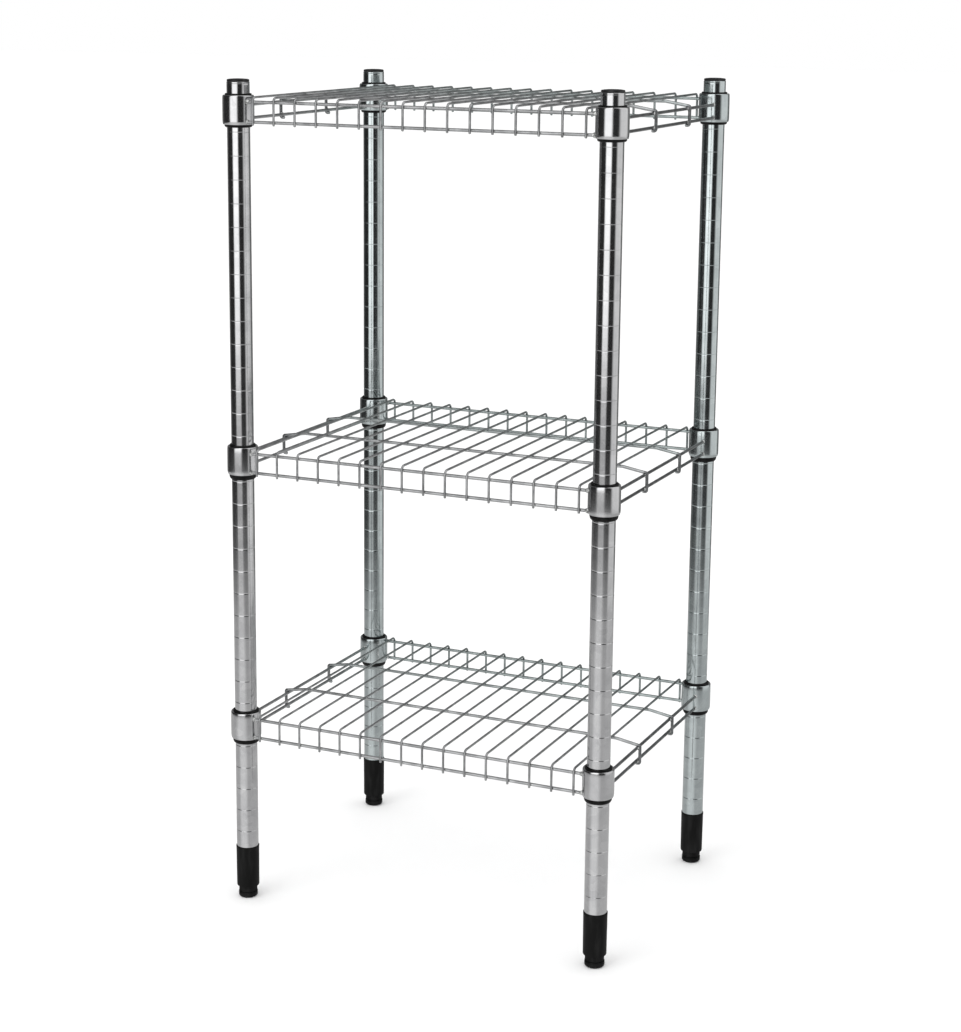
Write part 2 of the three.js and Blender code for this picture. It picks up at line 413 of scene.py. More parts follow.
@dataclass(frozen=True)
class ZincWire:
    """Drawn wire with bright plating that dulls in patches and is darker beyond about 0.22 m from
    the rack's middle along X.

    The weights are of patches and grit in the tone.
    """

    name: str
    light: Point = (0.54, 0.545, 0.55)
    dark: Point = (0.28, 0.285, 0.29)
    passivate: Point = (0.88, 0.97, 0.95)
    passivate_reach: Point = (-0.12, 0.16)
    # Darker tone that the wire takes beyond about 0.22 m from the rack's middle along X, and where
    # that step lies.
    outer_tone: Point = (0.50, 0.51, 0.51)
    outer_reach: Point = (0.2195, 0.2225)
    patches: Grain = Grain(1 / (14 * MM), 4.0)
    patch_range: Point = (0.3, 0.7)
    grit: Grain = Grain(3000.0, 2.0)
    tone_weights: Point = (0.75, 0.25)
    relief_depth: float = 0.02 * MM
    relief_strength: float = 0.5
    gloss: float = 0.24
    dullness: float = 0.16

    def make(self) -> bpy.types.Material:
        """Build the material.

        Returns:
            The material.
        """
        material, graph = new_material(self.name)
        patches = graph.grain(self.patches)
        grit = graph.grain(self.grit)
        tone = weighted(self.tone_weights, patches.above(*self.patch_range), grit)
        zinc = graph.mix(tone, self.dark, self.light)
        hue = graph.mix(graph.hindmost(*self.passivate_reach), WHITE, self.passivate)
        # Darken the wire beyond about 0.22 m from the rack's middle along X.
        outer_tone = graph.mix(graph.outermost(*self.outer_reach), hue, self.outer_tone)
        graph.surface({
            "Base Color": graph.vector("MULTIPLY", zinc, outer_tone),
            "Metallic": 1.0,
            "Roughness": self.gloss + self.dullness * patches,
            "Normal": graph.bump(grit, self.relief_depth, self.relief_strength),
        })
        return material


@dataclass(frozen=True)
class WeldMetal:
    """Rough bright beads with a darker, heat-stained skin."""

    name: str
    light: Point = (0.74, 0.75, 0.74)
    stained: Point = (0.22, 0.225, 0.22)
    skin: Grain = Grain(420.0, 4.0)
    stain_range: Point = (0.38, 0.6)
    ripple: Grain = Grain(1500.0, 3.0)
    relief_depth: float = 0.12 * MM
    relief_strength: float = 0.8
    metallic: float = 0.9
    gloss: float = 0.3
    dullness: float = 0.25

    def make(self) -> bpy.types.Material:
        """Build the material.

        Returns:
            The material.
        """
        material, graph = new_material(self.name)
        skin = graph.grain(self.skin)
        relief = graph.grain(self.ripple)
        graph.surface({
            "Base Color": graph.mix(skin.above(*self.stain_range), self.stained, self.light),
            "Metallic": self.metallic,
            "Roughness": self.gloss + self.dullness * skin,
            "Normal": graph.bump(relief, self.relief_depth, self.relief_strength),
        })
        return material


@dataclass(frozen=True)
class BlackPlastic:
    """Moulded black plastic with a fine grain and light handling marks."""

    name: str
    deep: Point = (0.006, 0.006, 0.0065)
    worn: Point = (0.022, 0.022, 0.023)
    marks: Grain = Grain(160.0, 5.0, (1.0, 1.0, 0.2))
    mark_range: Point = (0.42, 0.72)
    mark_roughness: float = 0.18
    grain: Grain = Grain(1 / (0.35 * MM), 2.0)
    relief_depth: float = 0.03 * MM
    relief_strength: float = 0.5
    roughness: float = 0.42
    specular: float = 0.28

    def make(self) -> bpy.types.Material:
        """Build the material.

        Returns:
            The material.
        """
        material, graph = new_material(self.name)
        marks = graph.grain(self.marks)
        relief = graph.grain(self.grain)
        graph.surface({
            "Base Color": graph.mix(marks.above(*self.mark_range), self.deep, self.worn),
            "Roughness": self.roughness + self.mark_roughness * marks,
            "Specular IOR Level": self.specular,
            "Normal": graph.bump(relief, self.relief_depth, self.relief_strength),
        })
        return material


@dataclass(frozen=True)
class InkyPlastic(BlackPlastic):
    """The same plastic in its deepest black, with less shine."""

    deep: Point = (0.004, 0.004, 0.004)
    worn: Point = (0.012, 0.012, 0.012)
    specular: float = 0.1


@dataclass(frozen=True)
class PaleFloor:
    """Matt pale floor of the studio."""

    name: str
    tone: Point = (0.90, 0.90, 0.90)
    fleck: Point = (0.92, 0.92, 0.92)
    flecks: Grain = Grain(12.0, 3.0)
    roughness: float = 0.9
    specular: float = 0.1

    def make(self) -> bpy.types.Material:
        """Build the material.

        Returns:
            The material.
        """
        material, graph = new_material(self.name)
        graph.surface({
            "Base Color": graph.mix(graph.grain(self.flecks), self.tone, self.fleck),
            "Roughness": self.roughness,
            "Specular IOR Level": self.specular,
        })
        return material


# ---- Mesh making ----


def around(axis: Vector, radius: float, angle: float, height: float) -> Vector:
    """Point at a radius, angle and height about a vertical axis."""
    return axis + Vector((radius * math.cos(angle), radius * math.sin(angle), height))


def outline(steps: Steps, radius: float, height: float) -> Profile:
    """Stretch of a turned outline, given as steps in millimetres from a radius and a height."""
    return [(radius + out * MM, height + up * MM) for out, up in steps]


def filleted(points: Sequence[Point], radius: float, steps: int) -> list[Vector]:
    """Round the inner corners of a line of points.

    Args:
        points: two or more points, in the plane or in space.
        radius: wanted radius; a short leg limits it.
        steps: stretches on each arc.

    Returns:
        The points with each inner corner replaced by its arc.
    """
    line = [Vector(point) for point in points]
    rounded = [line[0]]
    for before, corner, after in zip(line, line[1:], line[2:]):
        back, ahead = before - corner, after - corner
        half = back.angle(ahead) / 2
        if half > STRAIGHT_HALF_ANGLE:
            rounded.append(corner)
            continue
        limit = ARC_LEG_SHARE * min(back.length, ahead.length)
        reach = min(radius / math.tan(half), limit)
        start = corner + back.normalized() * reach
        end = corner + ahead.normalized() * reach
        to_middle = reach / (2 * math.cos(half) ** 2)
        middle = corner + (back.normalized() + ahead.normalized()) * to_middle
        first, last = start - middle, end - middle
        swing = math.pi - 2 * half
        for step in range(steps + 1):
            share = step / steps
            arm = first * (math.sin((1 - share) * swing) / math.sin(swing))
            arm += last * (math.sin(share * swing) / math.sin(swing))
            rounded.append(middle + arm)
    rounded.append(line[-1])
    return rounded


@dataclass
class Shell:
    """Vertices and faces gathered for one mesh."""

    points: list[Vector] = field(default_factory=list)
    faces: list[list[int]] = field(default_factory=list)

    def _row(self, points: Iterable[Vector]) -> list[int]:
        """Add a row of points.

        Args:
            points: the points in order.

        Returns:
            Their numbers.
        """
        first = len(self.points)
        self.points.extend(points)
        return list(range(first, len(self.points)))

    def _grid(self, rows: list[list[int]], close_rows: bool, close_ends: bool) -> None:
        """Join rows by quads, letting a row of one point act as a pole.

        Args:
            rows: rows of point numbers.
            close_rows: whether the last row meets the first.
            close_ends: whether each row is a ring.
        """
        pairs = list(zip(rows, rows[1:]))
        if close_rows:
            pairs.append((rows[-1], rows[0]))
        for lower, upper in pairs:
            count = max(len(lower), len(upper))
            for index in range(count if close_ends else count - 1):
                following = (index + 1) % count
                ring = [lower[index % len(lower)], lower[following % len(lower)]]
                ring += [upper[following % len(upper)], upper[index % len(upper)]]
                face = list(dict.fromkeys(ring))
                if len(face) > 2:
                    self.faces.append(face)

    def _bar(self, rows: list[list[int]]) -> None:
        """Join rows into a bar with flat ends.

        Args:
            rows: rows of point numbers, one for each edge of the bar.
        """
        self._grid(rows, True, False)
        self.faces.append([row[0] for row in rows])
        self.faces.append([row[-1] for row in reversed(rows)])

    def turned(
        self,
        profile: Profile,
        axis: Vector,
        segments: int = 48,
        ripple: Callable[[float, float, float], float] | None = None,
    ) -> None:
        """Add a body of revolution.

        Args:
            profile: (radius, height) points, anticlockwise; a ring repeats its first point.
            axis: a point on the vertical axis.
            segments: sides of the body.
            ripple: extra radius for (angle, radius, height).
        """
        ring = profile[0] == profile[-1]
        rows = []
        for radius, height in profile[:-1] if ring else profile:
            if radius < POLE_RADIUS:
                rows.append(self._row([axis + Vector((0, 0, height))]))
                continue
            points = []
            for index in range(segments):
                angle = FULL_TURN * index / segments
                reach = radius + (ripple(angle, radius, height) if ripple else 0)
                points.append(around(axis, reach, angle, height))
            rows.append(self._row(points))
        self._grid(rows, ring, True)

    def part_turned(
        self, profile: Profile, axis: Vector, start: float, end: float, segments: int
    ) -> None:
        """Add a part of a turned ring, closed by flat ends.

        Args:
            profile: (radius, height) points, anticlockwise, its first point not repeated.
            axis: a point on the vertical axis.
            start: first angle.
            end: last angle.
            segments: stretches along the arc.
        """
        angles = [start + (end - start) * index / segments for index in range(segments + 1)]
        self._bar([
            self._row(around(axis, radius, angle, height) for angle in angles)
            for radius, height in profile
        ])

    def _section(
        self, centre: Vector, way: Vector, across: Vector, radius: float, sides: int
    ) -> list[int]:
        """Add one ring of a wire.

        Args:
            centre: middle of the ring.
            way: unit vector along the wire.
            across: unit vector across it, to the first point.
            radius: the ring's radius.
            sides: its number of points.

        Returns:
            The numbers of its points.
        """
        second = way.cross(across)
        angles = [FULL_TURN * side / sides for side in range(sides)]
        arms = [across * math.cos(angle) + second * math.sin(angle) for angle in angles]
        return self._row(centre + arm * radius for arm in arms)

    def swept(self, path: Sequence[Vector], radius: float, sides: int = 12) -> None:
        """Add a round wire with softly domed ends.

        Args:
            path: points along the wire's axis.
            radius: the wire's radius.
            sides: sides of its section.
        """
        ways = []
        for index, _ in enumerate(path):
            before = path[max(index - 1, 0)]
            after = path[min(index + 1, len(path) - 1)]
            ways.append((after - before).normalized())
        across = ways[0].orthogonal().normalized()
        rise = DOME_RISE * radius
        ring = radius * DOME_RING_RADIUS
        centre = path[0] - ways[0] * rise * DOME_RING_RISE
        rows = [self._row([path[0] - ways[0] * rise])]
        rows.append(self._section(centre, ways[0], across, ring, sides))
        for centre, way in zip(path, ways):
            across = (across - way * across.dot(way)).normalized()
            rows.append(self._section(centre, way, across, radius, sides))
        centre = path[-1] + ways[-1] * rise * DOME_RING_RISE
        rows.append(self._section(centre, ways[-1], across, ring, sides))
        rows.append(self._row([path[-1] + ways[-1] * rise]))
        self._grid(rows, False, True)

    def nugget(
        self,
        centre: Vector,
        reach: Vector,
        lumps: float,
        seat: Callable[[Vector], Vector] | None = None,
    ) -> None:
        """Add a lumpy weld bead.

        Args:
            centre: middle of the bead.
            reach: half sizes along X, Y and Z.
            lumps: depth of its lumps as a share of its size.
            seat: moves points that would come out behind the part that carries the bead.
        """
        ball = bmesh.new()
        bmesh.ops.create_icosphere(ball, subdivisions=2, radius=1.0)
        first = len(self.points)
        for vertex in ball.verts:
            place = Vector(vertex.co)
            swell = 1 + lumps * noise.noise(place * LUMP_SCALE + centre * LUMP_SEED_SCALE)
            point = centre + Vector([part * half * swell for part, half in zip(place, reach)])
            self.points.append(seat(point) if seat else point)
        self.faces += [[first + vertex.index for vertex in face.verts] for face in ball.faces]
        ball.free()

    def threaded(
        self, axis: Vector, radii: Point, pitch: float, low: float, high: float
    ) -> None:
        """Add a screw thread: a helical ridge that runs out at both ends.

        Args:
            axis: a point on the vertical axis.
            radii: radius at the ridge's foot, and at its crest.
            pitch: rise of one turn.
            low: lowest height.
            high: highest height.
        """
        foot = radii[0] - THREAD_SINK
        count = int((high - low - pitch) / pitch * THREAD_STEPS)
        rows = []
        for out, rise in THREAD_SECTION:
            points = []
            for index in range(count + 1):
                turns = index / THREAD_STEPS
                fade = min(1.0, turns, (count - index) / THREAD_STEPS)
                fade = max(fade, THREAD_FADE_FLOOR)
                reach = foot + (radii[1] - foot) * out * fade
                height = low + pitch / 2 + pitch * (turns + rise * fade)
                points.append(around(axis, reach, FULL_TURN * turns, height))
            rows.append(self._row(points))
        self._bar(rows)

    def to_piece(self, name: str, material: bpy.types.Material) -> bpy.types.Object:
        """Make the mesh object.

        Args:
            name: the piece's name.
            material: its finish.

        Returns:
            The linked object, smooth shaded with its hard edges kept.
        """
        mesh = bpy.data.meshes.new(name)
        mesh.from_pydata([tuple(point) for point in self.points], [], self.faces)
        work = bmesh.new()
        work.from_mesh(mesh)
        bmesh.ops.recalc_face_normals(work, faces=work.faces)
        work.to_mesh(mesh)
        work.free()
        mesh.materials.append(material)
        mesh.shade_smooth()
        mesh.set_sharp_from_angle(angle=SHARP_ANGLE)
        piece = bpy.data.objects.new(name, mesh)
        bpy.context.scene.collection.objects.link(piece)
        return piece


def fit_piece(
    shell: Shell,
    name: str,
    material: bpy.types.Material,
    body: str,
    node: str | None = None,
) -> None:
    """Turn a shell into a piece that rides on its body and stands for its node.

    Args:
        shell: the finished vertices and faces.
        name: the piece's name.
        material: its finish.
        body: the CAD body that it moves with.
        node: the CAD node that it replaces, if it replaces one.
    """
    piece = shell.to_piece(name, material)
    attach(piece, body)
    if node:
        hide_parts(node)
    LOG.info("%s on %s: %d faces", name, body, len(shell.faces))


# ---- Sub-assemblies ----


@dataclass
class Post:
    """One tube post with its ring grooves and end cap."""

    corner: Corner
    steel: bpy.types.Material
    plastic: bpy.types.Material
    wall: float = 1.0 * MM
    groove_pitch: float = 25.8 * MM
    groove_depth: float = 0.10 * MM
    groove_half_height: float = 0.85 * MM
    groove_shares: Point = (-1.15, -1.0, -0.65, -0.3, 0.0, 0.3, 0.65, 1.0, 1.15)
    edge: float = 0.3 * MM
    plug_inset: float = 2.2 * MM
    plug_fins: int = 3
    fin_inset: float = 1.1 * MM
    fin_below: float = 0.5 * MM
    fin_above: float = 0.4 * MM
    rim_steps: Steps = ((-0.2, 0.0), (0.0, 0.25))
    dome_height: float = 1.3 * MM
    dome_lifts: Point = (18, 36, 54, 70, 82)  # in degrees
    dome_power: float = 0.8

    def groove_heights(self, low: float, high: float) -> list[float]:
        """Find the grooves between two heights, in step with the clips' ridges.

        Args:
            low: lowest height.
            high: highest height.

        Returns:
            The height of each groove.
        """
        anchor = Extent.of(f"collar_top_{self.corner.label}").top - GROOVE_BELOW_COLLAR
        first = math.ceil((low - anchor) / self.groove_pitch)
        last = math.floor((high - anchor) / self.groove_pitch)
        return [anchor + number * self.groove_pitch for number in range(first, last + 1)]

    def tube(self) -> None:
        """Build the grooved tube."""
        node = f"post_{self.corner.label}"
        size = Extent.of(node)
        bore = size.radius - self.wall
        profile: Profile = [(bore, size.bottom), (size.radius - self.edge, size.bottom)]
        profile.append((size.radius, size.bottom + self.edge))
        margin = 2 * self.groove_half_height
        for height in self.groove_heights(size.bottom + margin, size.top - margin):
            for share in self.groove_shares:
                inside = min(abs(share), 1.0)
                dip = self.groove_depth * (1 + math.cos(math.pi * inside)) / 2
                profile.append((size.radius - dip, height + share * self.groove_half_height))
        profile += [(size.radius, size.top - self.edge), (size.radius - self.edge, size.top)]
        profile += [(bore, size.top), profile[0]]
        shell = Shell()
        shell.turned(profile, size.axis)
        fit_piece(shell, f"tube_{self.corner.label}", self.steel, "frame", node)

    def cap(self) -> None:
        """Build the cap: a low-domed disc on a finned plug."""
        node = f"post_cap_{self.corner.label}"
        size = Extent.of(node)
        rim_bottom = Extent.of(f"post_{self.corner.label}").top + GAP
        plug = size.radius - self.plug_inset
        fin = size.radius - self.fin_inset
        profile: Profile = [(0.0, size.bottom), (plug, size.bottom)]
        spacing = (rim_bottom - size.bottom) / (self.plug_fins + 1)
        for number in range(1, self.plug_fins + 1):
            height = size.bottom + number * spacing
            profile += [(plug, height - self.fin_below), (fin, height)]
            profile.append((plug, height + self.fin_above))
        profile += [(plug, rim_bottom), *outline(self.rim_steps, size.radius, rim_bottom)]
        shoulder = size.top - self.dome_height
        profile.append((size.radius, shoulder))
        for lift in map(math.radians, self.dome_lifts):
            rise = self.dome_height * math.sin(lift) ** self.dome_power
            profile.append((size.radius * math.cos(lift), shoulder + rise))
        profile.append((0.0, size.top))
        shell = Shell()
        shell.turned(profile, size.axis)
        fit_piece(shell, f"end_cap_{self.corner.label}", self.plastic, "frame", node)

    def build(self) -> None:
        """Build the post's pieces."""
        self.tube()
        self.cap()


@dataclass
class WedgeClips:
    """The two halves of the clip under one collar."""

    corner: Corner
    level: Level
    plastic: bpy.types.Material
    bore: float = 12.8 * MM
    top_wall: float = 1.7 * MM
    bottom_wall: float = 2.3 * MM
    lip_wall: float = 2.4 * MM
    belly: Steps = (
        (2.0 * MM, 0.0),
        (1.3 * MM, 0.065),
        (0.75 * MM, 0.2),
        (0.3 * MM, 0.4),
        (0.05 * MM, 0.63),
    )  # inset from the lip, and share of the lip's height
    lip_steps: Steps = ((0.0, -0.3), (-0.25, 0.0))
    rim_steps: Steps = ((0.0, -0.5), (-0.4, 0.0))
    mouth_steps: Steps = ((0.3, 0.0), (0.0, -0.3))
    ridge_height: float = 0.85 * MM
    ridge_depth: float = 0.25 * MM
    ridge_crest: float = 0.15 * MM
    split: float = 0.3 * MM
    segments: int = 24

    def profile(self) -> Profile:
        """Draw the wedge.

        Returns:
            Its outline, the first point not repeated.
        """
        size = Extent.of(f"clip_{self.level.value}_{self.corner.label}_1")
        collar = Extent.of(f"collar_{self.level.value}_{self.corner.label}")
        lip_top = collar.bottom - GAP
        lip = self.bore + self.lip_wall
        height = lip_top - size.bottom
        belly = [(lip - inset, size.bottom + share * height) for inset, share in self.belly]
        belly += outline(self.lip_steps, lip, lip_top)
        wedge = [(self.bore + self.bottom_wall, lip_top)]
        wedge += outline(self.rim_steps, self.bore + self.top_wall, size.top)
        wedge += outline(self.mouth_steps, self.bore, size.top)
        ridge = collar.top - GROOVE_BELOW_COLLAR
        crest = self.bore - self.ridge_depth
        inside = [(self.bore, ridge + self.ridge_height), (crest, ridge + self.ridge_crest)]
        inside += [(crest, ridge - self.ridge_crest), (self.bore, ridge - self.ridge_height)]
        return [*belly, *wedge, *inside, (self.bore, size.bottom)]

    def build(self) -> None:
        """Build both halves."""
        axis = Extent.of(f"collar_{self.level.value}_{self.corner.label}").axis
        slack = self.split / (2 * self.bore)
        for number, start in ((1, math.pi / 2), (2, -math.pi / 2)):
            place = f"{self.level.value}_{self.corner.label}_{number}"
            ends = (start + slack, start + math.pi - slack)
            shell = Shell()
            shell.part_turned(self.profile(), axis, *ends, self.segments)
            fit_piece(
                shell, f"wedge_{place}", self.plastic, "frame", f"clip_{place}"
            )


@dataclass
class Foot:
    """One foot: sleeve on the post, levelling screw and glide pad."""

    corner: Corner
    plastic: bpy.types.Material
    floor_thickness: float = 4.5 * MM
    hole_radius: float = 4.6 * MM
    sleeve_gap: float = 0.1 * MM
    sleeve_inset: float = 0.2 * MM
    sleeve_taper: float = 0.3 * MM
    sleeve_foot: Steps = ((-0.8, 0.0), (-0.25, 0.25), (0.0, 0.9))
    sleeve_band: Steps = ((-0.04, -3.2), (0.1, -2.8), (0.1, -0.4), (-0.15, 0.0))
    sleeve_mouth: Steps = ((0.1, 0.0), (0.0, -0.4))
    stem_radius: float = 4.0 * MM
    stem_tip: Steps = ((0.0, -1.2), (-1.0, 0.0))
    thread_pitch: float = 3.0 * MM
    thread_depth: float = 0.7 * MM
    thread_start: float = 0.5 * MM
    thread_end: float = 1.5 * MM
    neck_radius: float = 10.5 * MM
    neck_height: float = 6.5 * MM
    neck_foot: Steps = ((-0.7, 0.0), (0.0, 0.6), (0.0, 1.2))
    neck_head: Steps = ((0.0, -1.2), (0.0, -0.6), (-0.7, 0.0))
    neck_segments: int = 120
    flutes: int = 30
    flute_depth: float = 0.25 * MM
    flute_half_height: float = 2.2 * MM
    stub_radius: float = 5.0 * MM
    pad_dish: float = 0.3 * MM
    pad_foot: Steps = ((-4.4, 0.3), (-4.0, 0.0), (-2.2, 0.0), (-1.2, 0.55), (-0.2, 1.7), (0.0, 2.3))
    pad_waist: Steps = ((0.0, -1.5), (-0.35, -1.25), (-0.35, -0.85), (0.0, -0.6), (-0.25, 0.0))
    pad_floor: float = 3.6 * MM
    recess_radius: float = 5.6 * MM

    def sleeve(self) -> None:
        """Build the sleeve with its floor, rounded mouth and foot ring."""
        node = f"foot_sleeve_{self.corner.label}"
        size = Extent.of(node)
        bore = Extent.of(f"post_{self.corner.label}").radius + self.sleeve_gap
        floor_top = size.bottom + self.floor_thickness
        outer = size.radius - self.sleeve_inset
        profile: Profile = [
            (self.hole_radius, size.bottom),
            *outline(self.sleeve_foot, outer - self.sleeve_taper, size.bottom),
            *outline(self.sleeve_band, outer, size.top),
            *outline(self.sleeve_mouth, bore, size.top),
            (bore, floor_top),
            (self.hole_radius, floor_top),
            (self.hole_radius, size.bottom),
        ]
        shell = Shell()
        shell.turned(profile, size.axis)
        fit_piece(shell, f"sleeve_{self.corner.label}", self.plastic, "frame", node)

    def screw(self) -> None:
        """Build the fluted neck with its stub below and threaded stem above."""
        node = f"foot_screw_{self.corner.label}"
        size = Extent.of(node)
        neck_bottom = Extent.of(f"foot_pad_{self.corner.label}").top + GAP
        neck_top = neck_bottom + self.neck_height
        root = self.stem_radius - self.thread_depth
        profile: Profile = [
            (0.0, size.bottom),
            (self.stub_radius, size.bottom),
            (self.stub_radius, neck_bottom),
            *outline(self.neck_foot, self.neck_radius, neck_bottom),
            *outline(self.neck_head, self.neck_radius, neck_top),
            (root, neck_top),
            *outline(self.stem_tip, root, size.top),
            (0.0, size.top),
        ]

        def flute(angle: float, radius: float, height: float) -> float:
            """Cut flutes into the middle of the neck.

            Args:
                angle: angle about the screw's axis.
                radius: radius before cutting.
                height: height of the point.

            Returns:
                The extra radius.
            """
            beside = abs(height - (neck_bottom + neck_top) / 2) > self.flute_half_height
            if beside or radius < self.neck_radius:
                return 0.0
            return -self.flute_depth * (1 + math.cos(self.flutes * angle)) / 2

        shell = Shell()
        shell.turned(profile, size.axis, self.neck_segments, flute)
        ends = (neck_top + self.thread_start, size.top - self.thread_end)
        shell.threaded(size.axis, (root, self.stem_radius), self.thread_pitch, *ends)
        body = f"screw_{self.corner.label}"
        name = f"level_screw_{self.corner.label}"
        fit_piece(shell, name, self.plastic, body, node)

    def pad(self) -> None:
        """Build the glide pad with its waist line and dished underside rim."""
        node = f"foot_pad_{self.corner.label}"
        size = Extent.of(node)
        profile: Profile = [
            (0.0, size.bottom + self.pad_dish),
            *outline(self.pad_foot, size.radius, size.bottom),
            *outline(self.pad_waist, size.radius, size.top),
            (self.recess_radius, size.top),
            (self.recess_radius, size.bottom + self.pad_floor),
            (0.0, size.bottom + self.pad_floor),
        ]
        shell = Shell()
        shell.turned(profile, size.axis)
        body = f"pad_{self.corner.label}"
        fit_piece(shell, f"glide_{self.corner.label}", self.plastic, body, node)

    def build(self) -> None:
        """Build the foot's pieces."""
        self.sleeve()
        self.screw()
        self.pad()


@dataclass
class Shelf:
    """One welded shelf: corner collars, rails, cross wires, braces and their welds.

    A bead's half sizes are given in units of the bead's own size.
    """

    level: Level
    collar_steel: bpy.types.Material
    wire: bpy.types.Material
    weld: bpy.types.Material
    collar_wall: float = 1.3 * MM
    collar_bulge: float = 0.9 * MM
    collar_taper: float = 0.3 * MM
    collar_rim: Steps = ((-0.3, 0.0), (0.0, 0.3))
    collar_foot: Steps = ((-0.25, 1.8), (-0.08, 3.0), (0.0, 6.0))
    collar_head: Steps = (
        (-0.06, -6.0),
        (-0.12, -3.0),
        (-0.22, -1.2),
        (-0.5, -0.35),
        (-0.85, 0.0),
    )
    collar_rounding: float = 1.2 * MM
    collar_arc_steps: int = 3
    rail_radius: float = 1.75 * MM
    rail_edge: float = 3.3 * MM
    rail_offset: float = 8.0 * MM
    rail_sink: float = 1.0 * MM
    cross_radius: float = 1.3 * MM
    cross_margin: float = 24.0 * MM
    cross_pitch: float = 25.6 * MM
    cross_tail: float = 3.0 * MM
    deck_drop: float = 1.6 * MM
    bend: float = 5.0 * MM
    side_drop: float = 11.8 * MM
    side_edge: float = 5.0 * MM
    side_offset: float = 4.5 * MM
    brace_count: int = 2
    brace_bend: float = 3.0 * MM
    brace_tail: float = 1.2 * MM
    brace_dip: float = 0.4 * MM
    brace_run_on: float = 3.0  # past the last cross wire, in that wire's radii
    sink: float = 0.25 * MM
    arc_steps: int = 6
    bead: float = 1.35 * MM
    rail_bead: Point = (1.5, 0.8, 1.2)
    brace_bead: Point = (1.15, 1.15, 0.7)
    hook_bead: Point = (1.1, 2.1, 1.9)
    end_bead: Point = (1.75, 1.75, 1.95)
    end_bead_stretch: float = 0.5  # more of it along the rail
    end_inset: float = 1.4 * MM
    smooth_lumps: float = 0.16
    rough_lumps: float = 0.25
    end_lumps: float = 0.35
    weld_depth: float = 1.0 * MM
    seam_inset: float = 0.45 * MM
    seam_margin: float = 3.0 * MM
    seam_radius: float = 0.55 * MM
    seam_sides: int = 8

    def __post_init__(self) -> None:
        """Read the collars' places and work out the wires' levels and offsets."""
        self.collars = {
            corner: Extent.of(f"collar_{self.level.value}_{corner.label}") for corner in Corner
        }
        near = self.collars[Corner.FRONT_LEFT]
        far = self.collars[Corner.BACK_RIGHT]
        self.half_width = (far.axis.x - near.axis.x) / 2
        self.half_depth = (far.axis.y - near.axis.y) / 2
        self.deck = near.top - self.deck_drop
        self.top_rail = self.deck - self.bend
        self.bottom_rail = near.bottom + self.rail_edge
        self.side_top = near.top - self.side_drop
        self.side_bottom = near.bottom + self.side_edge
        self.brace = self.deck - self.cross_radius - self.rail_radius + self.sink
        self.leg = self.rail_offset + self.rail_radius + self.cross_radius - self.sink
        self.brace_leg = self.side_offset + 2 * self.rail_radius - self.sink
        self.body = f"shelf_{self.level.value}"

    def cross_places(self) -> list[float]:
        """Space the cross wires evenly.

        Returns:
            Their places along X.
        """
        span = 2 * (self.half_width - self.cross_margin)
        gaps = round(span / self.cross_pitch)
        return [-span / 2 + span * index / gaps for index in range(gaps + 1)]

    def brace_places(self) -> list[float]:
        """Places of the braces along Y."""
        gap = 2 * self.half_depth / (self.brace_count + 1)
        return [-self.half_depth + gap * (index + 1) for index in range(self.brace_count)]

    def add_cross_wires(self, shell: Shell) -> None:
        """Add the wires that make the deck and turn down at both ends.

        Args:
            shell: the mesh that they go into.
        """
        reach = self.half_depth + self.leg
        tail = self.bottom_rail - self.cross_tail
        for x in self.cross_places():
            corners = [(x, -reach, tail), (x, -reach, self.deck)]
            corners += [(x, reach, self.deck), (x, reach, tail)]
            shell.swept(filleted(corners, self.bend, self.arc_steps), self.cross_radius)

    def add_braces(self, shell: Shell) -> None:
        """Add the long wires that hook over and under the side rails.

        Args:
            shell: the mesh that they go into.
        """
        leg = self.half_width + self.brace_leg
        level = self.half_width - self.cross_margin + self.brace_run_on * self.cross_radius
        over = self.side_top + 2 * self.rail_radius - self.sink
        under = self.side_bottom - 2 * self.rail_radius + self.sink
        inner = leg - self.brace_bend - self.brace_tail
        for y in self.brace_places():
            half = [(level, y, self.brace), (leg - self.brace_bend, y, over)]
            half += [(leg, y, over - self.brace_dip), (leg, y, under), (inner, y, under)]
            mirrored = [(-x, *rest) for x, *rest in reversed(half)]
            path = filleted([*mirrored, *half], self.brace_bend, self.arc_steps)
            shell.swept(path, self.rail_radius)

    def rail_reach(self, offset: float) -> float:
        """How far short of a post's axis a rail at an offset meets the collar."""
        radius = self.collars[Corner.FRONT_LEFT].radius
        return math.sqrt(radius**2 - offset**2) - self.rail_sink

    def rails(self) -> list[tuple[Vector, Vector]]:
        """Place the eight rails.

        Returns:
            Both ends of each.
        """
        x_end = self.half_width - self.rail_reach(self.rail_offset)
        y_end = self.half_depth - self.rail_reach(self.side_offset)
        ends = []
        for side in (-1, 1):
            y = side * (self.half_depth + self.rail_offset)
            x = side * (self.half_width + self.side_offset)
            for z in (self.top_rail, self.bottom_rail):
                ends.append((Vector((-x_end, y, z)), Vector((x_end, y, z))))
            for z in (self.side_top, self.side_bottom):
                ends.append((Vector((x, -y_end, z)), Vector((x, y_end, z))))
        return ends

    def build_wires(self) -> None:
        """Build the wires of the shelf as one piece."""
        shell = Shell()
        self.add_cross_wires(shell)
        self.add_braces(shell)
        for start, end in self.rails():
            shell.swept([start, end], self.rail_radius)
        node = f"shelf_wires_{self.level.value}"
        fit_piece(shell, f"wires_{self.level.value}", self.wire, self.body, node)

    def bead_reach(self, shares: Point) -> Vector:
        """Half sizes of a bead."""
        return Vector([share * self.bead for share in shares])

